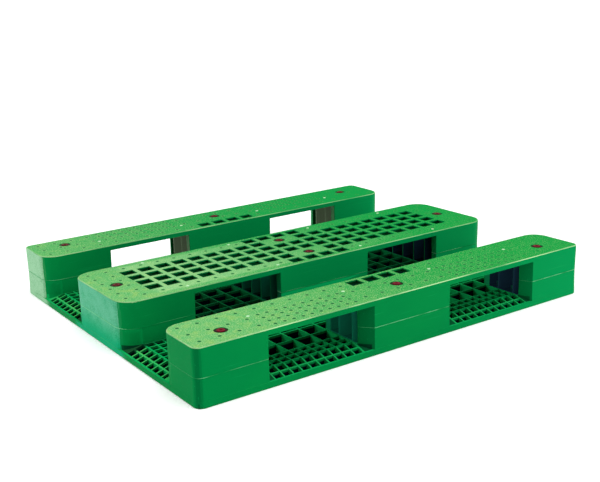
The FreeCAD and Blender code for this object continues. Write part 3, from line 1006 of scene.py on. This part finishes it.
class Editing:
    """Edit mode on one object, entered with nothing selected."""

    def __init__(self, piece: bpy.types.Object, element: Element = Element.FACE) -> None:
        """Remember what to edit.

        Args:
            piece: The object to edit.
            element: What edit mode selects.
        """
        self.piece = piece
        self.element = element

    def __enter__(self) -> "Editing":
        """Enter edit mode with nothing selected.

        Returns:
            This editing.
        """
        only(self.piece)
        bpy.ops.object.mode_set(mode="EDIT")
        bpy.ops.mesh.select_mode(type=self.element.value)
        bpy.ops.mesh.select_all(action="DESELECT")
        return self

    def __exit__(self, *_: object) -> None:
        """Go back to object mode."""
        bpy.ops.object.mode_set(mode="OBJECT")

    def pick_faces(self, test: Callable[[Vector, Vector], bool]) -> None:
        """Select only the faces that pass a test.

        Args:
            test: Takes a face's centre and normal.
        """
        self._pick("faces", lambda face: test(face.calc_center_median(), face.normal))

    def pick_vertices(self, test: Callable[[Vector], bool]) -> None:
        """Select only the vertices that pass a test.

        Args:
            test: Takes a vertex's place.
        """
        self._pick("verts", lambda vertex: test(vertex.co))

    def _pick(self, kind: str, test: Callable[[bmesh.types.BMFace | bmesh.types.BMVert], bool]) -> None:
        """Select only the elements of one kind that pass a test.

        Args:
            kind: The mesh's own name for its elements of that kind.
            test: Takes an element.
        """
        bpy.ops.mesh.select_all(action="DESELECT")
        mesh = bmesh.from_edit_mesh(self.piece.data)
        mesh.normal_update()
        for element in getattr(mesh, kind):
            element.select_set(test(element))
        mesh.select_flush_mode()
        bmesh.update_edit_mesh(self.piece.data)

    def extrude(self, height: float) -> None:
        """Extrude what is selected straight up, or down where the height is below 0."""
        bpy.ops.mesh.extrude_region_move(TRANSFORM_OT_translate={"value": (0, 0, height)})


def only(*pieces: bpy.types.Object) -> None:
    """Select these objects and nothing else.

    Args:
        pieces: The objects, the first of which becomes active.
    """
    bpy.ops.object.select_all(action="DESELECT")
    for piece in pieces:
        piece.select_set(True)
    bpy.context.view_layer.objects.active = pieces[0]


def settle(piece: bpy.types.Object, name: str) -> bpy.types.Object:
    """Name a piece and move its place into its mesh.

    Args:
        piece: The piece to settle.
        name: The name that it and its mesh get.

    Returns:
        The same piece.
    """
    piece.name = name
    piece.data.name = name
    only(piece)
    bpy.ops.object.transform_apply(location=True, rotation=True, scale=True)
    return piece


def apply_modifiers(piece: bpy.types.Object) -> None:
    """Apply all modifiers of a piece, in order.

    Args:
        piece: The piece.
    """
    only(piece)
    for modifier in list(piece.modifiers):
        bpy.ops.object.modifier_apply(modifier=modifier.name)


def soften(piece: bpy.types.Object, width: float, segments: int, sharp: float) -> None:
    """Give a piece a bevel on its sharp edges, as a live modifier.

    Args:
        piece: The piece.
        width: Width of the bevel.
        segments: How many faces each bevel has across.
        sharp: Angle in degrees from which an edge is bevelled.
    """
    bevel = piece.modifiers.new("softened_edges", "BEVEL")
    bevel.width = width
    bevel.segments = segments
    bevel.limit_method = "ANGLE"
    bevel.angle_limit = math.radians(sharp)


def button(
    name: str, radius: float, rise: float, sink: float, sides: int, insets: Iterable[tuple[float, float]]
) -> bpy.types.Object:
    """Model a small round button at the origin, shaped by insets of its top.

    Args:
        name: The button's name.
        radius: Radius of its foot.
        rise: Height of its foot over the surface that it stands on.
        sink: How deep it starts below that surface, where it is open.
        sides: How many sides it has.
        insets: Width and height of each inset of its top, in order.

    Returns:
        The button.
    """
    middle = (rise - sink) / 2
    bpy.ops.mesh.primitive_cylinder_add(
        vertices=sides, radius=radius, depth=rise + sink, location=(0, 0, middle)
    )
    piece = settle(bpy.context.object, name)
    with Editing(piece) as edit:
        edit.pick_faces(lambda place, normal: normal.z < -FLAT)
        bpy.ops.mesh.delete(type="FACE")
        edit.pick_faces(lambda place, normal: normal.z > FLAT)
        for width, height in insets:
            bpy.ops.mesh.inset(thickness=width, depth=height)
    return piece


def copied(piece: bpy.types.Object, shift: Vector) -> bpy.types.Object:
    """Copy of a piece with a mesh of its own, moved.

    Args:
        piece: The piece to copy.
        shift: How far the copy is moved.

    Returns:
        The copy, at the origin, with its place in its mesh.
    """
    twin = piece.copy()
    twin.data = piece.data.copy()
    bpy.context.collection.objects.link(twin)
    twin.data.transform(Matrix.Translation(shift))
    return twin


def stamped(piece: bpy.types.Object, places: Iterable[Vector], name: str) -> bpy.types.Object:
    """One mesh made of copies of a piece, which is used up.

    Args:
        piece: The piece to repeat, modelled at the origin.
        places: Where the copies go.
        name: The joined piece's name.

    Returns:
        The joined piece.
    """
    twins = [copied(piece, place) for place in places]
    only(*twins)
    bpy.ops.object.join()
    joined = bpy.context.view_layer.objects.active
    joined.name = name
    joined.data.name = name
    bpy.data.objects.remove(piece)
    return joined


def dress(piece: bpy.types.Object, material: bpy.types.Material) -> None:
    """Give a new piece its material, smooth shading, body and material slot.

    Args:
        piece: The piece.
        material: Its material.
    """
    piece.data.materials.clear()
    piece.data.materials.append(material)
    only(piece)
    bpy.ops.object.shade_smooth_by_angle(angle=math.radians(SHARP))
    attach(piece, "root")
    LOG.info("built %s", piece.name)


# ------------------------------------------------------------------ the pallet's plan

@dataclass(frozen=True)
class PalletPlan:
    """Sizes of the pallet in plan, which the new pieces are placed by."""

    seam: float = 0.070
    plate_top: float = 0.139
    middle_block: float = 0.146
    end_block: float = 0.402
    middle_mouth: float = 0.120
    end_mouth: float = 0.418
    mouth_depth: float = 0.030
    outer_radius: float = 0.020
    inner_radius: float = 0.045
    centre_radius: float = 0.050
    cheek: float = 0.020
    wall: float = 0.004
    grid_pitch: float = 0.050

    @property
    def half_length(self) -> float:
        """Half the pallet's length."""
        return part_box("runner_centre")[1][0]

    @property
    def half_width(self) -> float:
        """Half the pallet's width."""
        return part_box("runner_far")[1][1]

    @property
    def gap_edge(self) -> float:
        """Distance from the middle to an outer runner's inner edge."""
        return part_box("runner_far")[0][1]

    @property
    def centre_half(self) -> float:
        """Half the centre runner's width."""
        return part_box("runner_centre")[1][1]


@dataclass
class Mouldings:
    """The deck and the three runners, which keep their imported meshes."""

    deck: str = "deck_moulding"
    runners: tuple[str, ...] = ("runner_near", "runner_centre", "runner_far")
    edge: float = 0.0008
    sharp: float = 35.0
    merge: float = 0.00002

    def dress(self, deck_finish: bpy.types.Material, runner_finish: bpy.types.Material) -> None:
        """Soften the edges and assign the finishes.

        Args:
            deck_finish: The deck's plastic.
            runner_finish: The runners' plastic.
        """
        finishes = {self.deck: deck_finish} | dict.fromkeys(self.runners, runner_finish)
        for name, material in finishes.items():
            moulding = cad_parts[name]
            weld = moulding.modifiers.new("weld", "WELD")
            weld.merge_threshold = self.merge
            soften(moulding, self.edge, 1, self.sharp)
            for slot in moulding.material_slots:
                slot.material = material
            LOG.info("dressed %s", name)


@dataclass
class RubberPlug:
    """One rubber plug: a flange, a rounded head with a dimple, and a stem."""

    node: str
    head_radius: float = 0.0095
    head_depth: float = 0.0040
    flange_thickness: float = 0.0015
    head_round: float = 0.0010
    head_segments: int = 3
    dimple_radius: float = 0.0038
    dimple_depth: float = 0.0016
    stem_radius: float = 0.0080
    tip_radius: float = 0.0060
    sides: int = 48

    def build(self) -> bpy.types.Object:
        """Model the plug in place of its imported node.

        Returns:
            The plug.
        """
        low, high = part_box(self.node)
        centre = ((low[0] + high[0]) / 2, (low[1] + high[1]) / 2)
        flange_radius = (high[0] - low[0]) / 2
        foot = high[2] - self.head_depth
        bpy.ops.mesh.primitive_cylinder_add(
            vertices=self.sides, radius=flange_radius, depth=self.flange_thickness,
            location=(*centre, foot + self.flange_thickness / 2),
        )
        plug = settle(bpy.context.object, self.node + "_rubber")
        with Editing(plug) as edit:
            edit.pick_faces(lambda place, normal: normal.z > FLAT)
            bpy.ops.mesh.inset(thickness=flange_radius - self.head_radius)
            edit.extrude(self.head_depth - self.flange_thickness)
            bpy.ops.mesh.inset(thickness=self.head_radius - self.dimple_radius)
            edit.extrude(-self.dimple_depth)
            edit.pick_faces(lambda place, normal: normal.z < -FLAT)
            bpy.ops.mesh.inset(thickness=flange_radius - self.stem_radius)
            edit.extrude(low[2] - foot)
            bpy.ops.mesh.inset(thickness=self.stem_radius - self.tip_radius)
        soften(plug, self.head_round, self.head_segments, SHARP)
        apply_modifiers(plug)
        return plug


@dataclass
class RubberPlugs:
    """All the rubber plugs of the runners."""

    prefix: str = "plug_"

    def build(self, material: bpy.types.Material) -> None:
        """Model and place every plug.

        Args:
            material: The rubber.
        """
        for node in sorted(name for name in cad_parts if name.startswith(self.prefix)):
            plug = RubberPlug(node).build()
            dress(plug, material)
            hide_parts(node)


@dataclass
class WeldFlash:
    """The beads of plastic squeezed out where the half-blocks are welded."""

    plan: PalletPlan
    bead_height: float = 0.0018
    bead_reach: float = 0.0007
    bead_round: float = 0.7
    root: float = 0.0010
    draft: float = 0.0011
    corner_reach: float = 0.0001
    corner_segments: int = 8
    mouth_reach: float = 0.06
    sharp: float = 60.0

    def build(self, material: bpy.types.Material) -> None:
        """Model a bead round each of the nine blocks.

        Args:
            material: The plastic of the flash.
        """
        plan = self.plan
        ends = ((-plan.half_length, -plan.end_block), (plan.end_block, plan.half_length))
        columns = {"left": ends[0], "middle": (-plan.middle_block, plan.middle_block), "right": ends[1]}
        outer = (plan.gap_edge, plan.half_width)
        rows = {
            "near": (-outer[1], -outer[0]),
            "centre": (-plan.centre_half, plan.centre_half),
            "far": outer,
        }
        for row, y_range in rows.items():
            for column, x_range in columns.items():
                bead = self._outline(f"weld_flash_{row}_{column}", x_range, y_range)
                self._raise(bead)
                self._open_windows(bead)
                self._thicken(bead)
                dress(bead, material)

    def _outline(self, name: str, x_range: Place, y_range: Place) -> bpy.types.Object:
        """Model a block's outline at the seam as a flat face.

        Args:
            name: The bead's name.
            x_range: Ends of the block along X.
            y_range: Ends of the block along Y.

        Returns:
            A piece of one face.
        """
        plan = self.plan
        bpy.ops.mesh.primitive_plane_add(size=1.0)
        face = bpy.context.object
        length, width = (end - start - 2 * self.draft for start, end in (x_range, y_range))
        face.scale = (length, width, 1)
        level = plan.seam - self.bead_height / 2
        face.location = (sum(x_range) / 2, sum(y_range) / 2, level)
        settle(face, name)
        if abs(sum(y_range)) > plan.gap_edge:
            self._cut_mouths(face)
        self._round_corners(face)
        return face

    def _cut_mouths(self, face: bpy.types.Object) -> None:
        """Cut the slanted mouth corners of an outer block.

        Args:
            face: The block's outline.
        """
        plan = self.plan
        outer = plan.half_width - self.draft
        tunnel_middle = (plan.middle_block + plan.end_block) / 2
        corners = (
            (plan.middle_mouth - self.draft, plan.middle_block - self.draft),
            (plan.end_mouth + self.draft, plan.end_block + self.draft),
        )
        for flip, turn, (mouth, throat) in product((-1, 1), (-1, 1), corners):
            first = Vector((flip * mouth, turn * outer, 0))
            along = Vector((flip * throat, turn * (outer - plan.mouth_depth), 0)) - first
            normal = Vector((-along.y, along.x, 0)).normalized()
            tunnel = Vector((flip * tunnel_middle, turn * outer, 0))
            if normal.dot(tunnel - first) < 0:
                normal = -normal
            self._trim(face, first, normal)

    def _trim(self, face: bpy.types.Object, point: Vector, normal: Vector) -> None:
        """Trim a face by a line where the line's corner belongs to the face.

        Args:
            face: The block's outline.
            point: A point on the line.
            normal: The line's normal, towards the tunnel.
        """
        offsets = [vertex.co - point for vertex in face.data.vertices]
        if not any(max(abs(offset.x), abs(offset.y)) < self.mouth_reach for offset in offsets):
            return
        with Editing(face):
            bpy.ops.mesh.select_all(action="SELECT")
            bpy.ops.mesh.bisect(plane_co=point, plane_no=normal, clear_outer=True, use_fill=False)

    def _round_corners(self, face: bpy.types.Object) -> None:
        """Round the outline's corners that lie at the pallet's ends.

        Args:
            face: The block's outline.
        """
        plan = self.plan
        end = plan.half_length - self.draft - self.corner_reach
        outer = plan.half_width - self.draft - self.corner_reach
        inner = plan.gap_edge + plan.cheek / 2
        groups = (
            (plan.outer_radius, lambda co: abs(co.x) > end and abs(co.y) > outer),
            (plan.inner_radius, lambda co: abs(co.x) > end and abs(co.y) < inner),
        )
        if abs(sum(vertex.co.y for vertex in face.data.vertices)) < plan.gap_edge:
            groups = ((plan.centre_radius, lambda co: abs(co.x) > end),)
        for radius, test in groups:
            with Editing(face, Element.VERTEX) as edit:
                edit.pick_vertices(test)
                if any(vertex.select for vertex in bmesh.from_edit_mesh(face.data).verts):
                    bpy.ops.mesh.bevel(offset=radius, segments=self.corner_segments, affect="VERTICES")

    def _raise(self, bead: bpy.types.Object) -> None:
        """Turn an outline into a low wall round the block.

        Args:
            bead: The outline, as a flat face.
        """
        with Editing(bead) as edit:
            bpy.ops.mesh.select_all(action="SELECT")
            edit.extrude(self.bead_height)
            edit.pick_faces(lambda place, normal: abs(normal.z) > FLAT)
            bpy.ops.mesh.delete(type="FACE")
            bpy.ops.mesh.select_all(action="SELECT")
            bpy.ops.mesh.normals_make_consistent(inside=False)

    def _open_windows(self, bead: bpy.types.Object) -> None:
        """Leave the bead out where a block is open towards a tunnel.

        Args:
            bead: The low wall round the block.
        """
        plan = self.plan
        centre_window = plan.centre_half - plan.cheek
        outer_window = (plan.gap_edge + plan.cheek, plan.half_width - plan.mouth_depth - plan.wall)
        levels = (-outer_window[1], -outer_window[0], -centre_window, centre_window, *outer_window)
        tunnel_face = (plan.end_block + plan.half_length) / 2
        with Editing(bead) as edit:
            for level in levels:
                bpy.ops.mesh.select_all(action="SELECT")
                bpy.ops.mesh.bisect(plane_co=(0, level, 0), plane_no=(0, 1, 0))
            edit.pick_faces(
                lambda place, normal: abs(normal.x) > FLAT
                and abs(place.x) < tunnel_face
                and (abs(place.y) < centre_window or outer_window[0] < abs(place.y) < outer_window[1])
            )
            bpy.ops.mesh.delete(type="FACE")

    def _thicken(self, bead: bpy.types.Object) -> None:
        """Give the low wall its thickness and round its edges.

        Args:
            bead: The low wall round the block.
        """
        skin = bead.modifiers.new("thickness", "SOLIDIFY")
        skin.thickness = self.bead_reach + self.root
        skin.offset = (self.bead_reach - self.root) / (self.bead_reach + self.root)
        soften(bead, self.bead_reach * self.bead_round, 2, self.sharp)
        apply_modifiers(bead)


@dataclass
class GripStuds:
    """The small raised studs on the runners' faces."""

    plan: PalletPlan
    foot_radius: float = 0.0066
    crown_radius: float = 0.0052
    foot_rise: float = 0.0002
    rise: float = 0.0009
    wall_share: float = 0.6
    wall_inset: float = 0.22
    top_inset: float = 0.40
    sink: float = 0.0003
    sides: int = 10
    outer_row: float = 0.369
    sparse_rows: tuple[float, ...] = (0.418, 0.467)
    dense_rows: tuple[float, ...] = (0.408, 0.432, 0.456, 0.480)
    centre_rows: tuple[float, ...] = (0.112,)
    end_rows: tuple[float, ...] = (0.024, 0.068)
    dense_start: float = 0.160
    dense_pitch: float = 0.025
    dense_count: int = 10
    first_station: float = 0.120
    station_count: int = 10
    sparse_from: int = 6
    ends_from: int = 8
    outer_plugs: tuple[Place, ...] = ((0.0, 0.438), (0.5, 0.438))
    centre_plugs: tuple[Place, ...] = ((0.542, 0.0),)
    clearance: float = 0.021

    def build(self, material: bpy.types.Material) -> None:
        """Model the studs of all three runners.

        Args:
            material: The studs' plastic.
        """
        for side in Side:
            studs = stamped(self._stud(), self._outer_places(side), f"grip_studs_{side.name.lower()}")
            dress(studs, material)
        dress(stamped(self._stud(), self._centre_places(), "grip_studs_centre"), material)

    def _stud(self) -> bpy.types.Object:
        """Model one low dome at the origin.

        Returns:
            The stud, open underneath where it meets the runner.
        """
        crown = self.rise - self.foot_rise
        insets = (
            (self.foot_radius - self.crown_radius, 0.0),
            (self.crown_radius * self.wall_inset, crown * self.wall_share),
            (self.crown_radius * self.top_inset, crown * (1.0 - self.wall_share)),
        )
        return button("stud", self.foot_radius, self.foot_rise, self.sink, self.sides, insets)

    def _stations(self) -> list[float]:
        """Distances from the middle to the studs along a runner, one grid pitch apart."""
        return [self.first_station + step * self.plan.grid_pitch for step in range(self.station_count)]

    def _outer_places(self, side: Side) -> list[Vector]:
        """Stud centres on an outer runner.

        Args:
            side: Which runner.

        Returns:
            The centres, on the runner's face.
        """
        stations = self._stations()
        middle = [self.first_station - step * self.plan.grid_pitch for step in (2, 1, 0)]
        dense = [self.dense_start + step * self.dense_pitch for step in range(self.dense_count)]
        flat = [(x, self.outer_row) for x in stations]
        flat += product(stations[self.sparse_from:] + middle, self.sparse_rows)
        flat += product(dense, self.dense_rows)
        return self._mirrored(flat, self.outer_plugs, (side.value,))

    def _centre_places(self) -> list[Vector]:
        """Stud centres on the centre runner's border and ends.

        Returns:
            The centres, on the runner's face.
        """
        stations = self._stations()
        flat = [*product(stations, self.centre_rows), *product(stations[self.ends_from:], self.end_rows)]
        return self._mirrored(flat, self.centre_plugs, (-1, 1))

    def _mirrored(
        self, flat: Iterable[Place], plugs: Iterable[Place], turns: Iterable[int]
    ) -> list[Vector]:
        """Places mirrored about the middle, without those that touch a plug's seat.

        Args:
            flat: Places in plan, in the quarter where X and Y are positive.
            plugs: Plug centres in the same quarter.
            turns: Signs of Y that the places are wanted at.

        Returns:
            The places, on the runners' faces.
        """
        top = self.plan.plate_top
        return [
            Vector((flip * x, turn * y, top))
            for (x, y), flip, turn in product(flat, (-1, 1), turns)
            if all(math.dist((x, y), plug) > self.clearance for plug in plugs)
        ]


@dataclass
class GateMarks:
    """The small round marks where the plastic entered the moulds."""

    plan: PalletPlan
    radius: float = 0.0042
    rise: float = 0.0007
    sink: float = 0.0003
    sides: int = 16
    steps: tuple[tuple[float, float], ...] = ((0.20, 0.0), (0.12, -0.5), (0.30, 0.0), (0.10, 0.6))
    stations: tuple[float, ...] = (0.138, 0.408)
    outer_offset: float = 0.403
    centre_offset: float = 0.125

    def build(self, material: bpy.types.Material) -> None:
        """Model the marks of all three runners.

        Args:
            material: The pale plastic of a gate mark.
        """
        top = self.plan.plate_top
        offsets = {
            "near": (-self.outer_offset,),
            "centre": (-self.centre_offset, self.centre_offset),
            "far": (self.outer_offset,),
        }
        for row, across in offsets.items():
            flat = product(self.stations, (-1, 1), across)
            places = [Vector((flip * x, y, top)) for x, flip, y in flat]
            dress(stamped(self._mark(), places, f"gate_marks_{row}"), material)

    def _mark(self) -> bpy.types.Object:
        """Model one mark at the origin: a low ring round a sheared nub.

        Returns:
            The mark, open underneath.
        """
        insets = [(self.radius * width, self.rise * height) for width, height in self.steps]
        return button("mark", self.radius, self.rise, self.sink, self.sides, insets)


# ------------------------------------------------------------------ studio

@dataclass(frozen=True)
class Softbox:
    """One rectangular studio light, or a far and even one of some spread where it has no size."""

    name: str
    place: Point
    power: float
    size: Place | None = None
    target: Point = (0.0, 0.0, 0.1)
    spread: float = 15.0

    def build(self) -> None:
        """Add the light, facing its target."""
        aim = (Vector(self.target) - Vector(self.place)).to_track_quat("-Z", "Y")
        kind = "AREA" if self.size else "SUN"
        bpy.ops.object.light_add(type=kind, location=self.place, rotation=aim.to_euler())
        light = bpy.context.object
        light.name = self.name
        light.data.energy = self.power
        light.visible_camera = False
        if self.size:
            light.data.shape = "RECTANGLE"
            light.data.size, light.data.size_y = self.size
        else:
            light.data.angle = math.radians(self.spread)


@dataclass
class Studio:
    """Floor, lights and camera."""

    lights: tuple[Softbox, ...] = (
        Softbox("overhead", (0.3, -2.0, 8.0), 1.90, spread=50.0),
        Softbox("front_right", (6.2, -6.2, 3.6), 1.10),
        Softbox("left_side", (-8.0, 4.0, 3.0), 0.84),
        Softbox("back_left", (-1.7, 1.7, 0.5), 10.0, (0.9, 0.7), (-0.6, 0.42, 0.07)),
        Softbox("back_sheen", (0.7, 5.5, 2.1), 15.0, (3.0, 2.0), (-0.3, 0.0, 0.1)),
    )
    world_strength: float = 0.42
    white: Colour = (1.0, 1.0, 1.0, 1.0)
    camera_place: Point = (-1.4933, -2.1702, 0.9002)
    camera_yaw: float = 33.88
    camera_pitch: float = -14.90
    camera_roll: float = -1.87
    camera_lens: float = 58.69
    camera_shift: Place = (0.0294, -0.0268)
    camera_reach: float = 200.0
    floor_size: float = 80.0

    def build(self) -> None:
        """Build the whole studio."""
        self._build_floor()
        for light in self.lights:
            light.build()
        self._build_world()
        self._build_camera()
        bpy.context.scene.view_settings.view_transform = "Standard"
        LOG.info("built the studio")

    def _build_floor(self) -> None:
        """Lay a wide pale floor under the pallet."""
        bpy.ops.mesh.primitive_plane_add(size=self.floor_size, location=(0, 0, CAD_BOX[0][2]))
        floor = settle(bpy.context.object, "floor")
        floor.data.materials.append(PaleFloor("pale_floor").material())

    def _build_world(self) -> None:
        """Surround the set with even white light, which the camera sees as a plain white ground."""
        world = bpy.data.worlds.new("studio")
        bpy.context.scene.world = world
        world.use_nodes = True
        tree = world.node_tree
        glow = tree.nodes["Background"]
        glow.inputs["Color"].default_value = self.white
        glow.inputs["Strength"].default_value = self.world_strength
        backdrop = tree.nodes.new("ShaderNodeBackground")
        backdrop.inputs["Color"].default_value = self.white
        ray = tree.nodes.new("ShaderNodeLightPath")
        choice = tree.nodes.new("ShaderNodeMixShader")
        tree.links.new(ray.outputs["Is Camera Ray"], choice.inputs[0])
        tree.links.new(glow.outputs[0], choice.inputs[1])
        tree.links.new(backdrop.outputs[0], choice.inputs[2])
        tree.links.new(choice.outputs[0], tree.nodes["World Output"].inputs["Surface"])

    def _build_camera(self) -> None:
        """Add the camera from its heading, tilt and roll."""
        angles = (self.camera_yaw, self.camera_pitch, self.camera_roll)
        yaw, pitch, roll = (math.radians(angle) for angle in angles)
        heading = Vector((math.sin(yaw), math.cos(yaw), 0.0))
        ahead = heading * math.cos(pitch) + Vector((0.0, 0.0, math.sin(pitch)))
        level = Vector((math.cos(yaw), -math.sin(yaw), 0.0))
        above = level.cross(ahead)
        right = level * math.cos(roll) + above * math.sin(roll)
        up = above * math.cos(roll) - level * math.sin(roll)
        turn = Matrix((right, up, -ahead)).transposed()
        bpy.ops.object.camera_add(location=self.camera_place, rotation=turn.to_euler())
        camera = bpy.context.object
        camera.name = "camera"
        camera.data.lens = self.camera_lens
        camera.data.shift_x, camera.data.shift_y = self.camera_shift
        camera.data.clip_end = self.camera_reach
        bpy.context.scene.camera = camera


def main() -> None:
    """Build the camera, the lights and every piece of the pallet."""
    logging.basicConfig(level=logging.INFO, format="%(name)s: %(message)s")
    Studio().build()
    plan = PalletPlan()
    Mouldings().dress(DeckPlastic("deck_plastic").material(), BlockPlastic("runner_plastic").material())
    RubberPlugs().build(PlugRubber("red_rubber").material())
    WeldFlash(plan).build(FlashPlastic("flash_plastic").material())
    GripStuds(plan).build(StudPlastic("stud_plastic").material())
    GateMarks(plan).build(GatePlastic("gate_plastic").material())


if __name__ == "__main__":
    main()
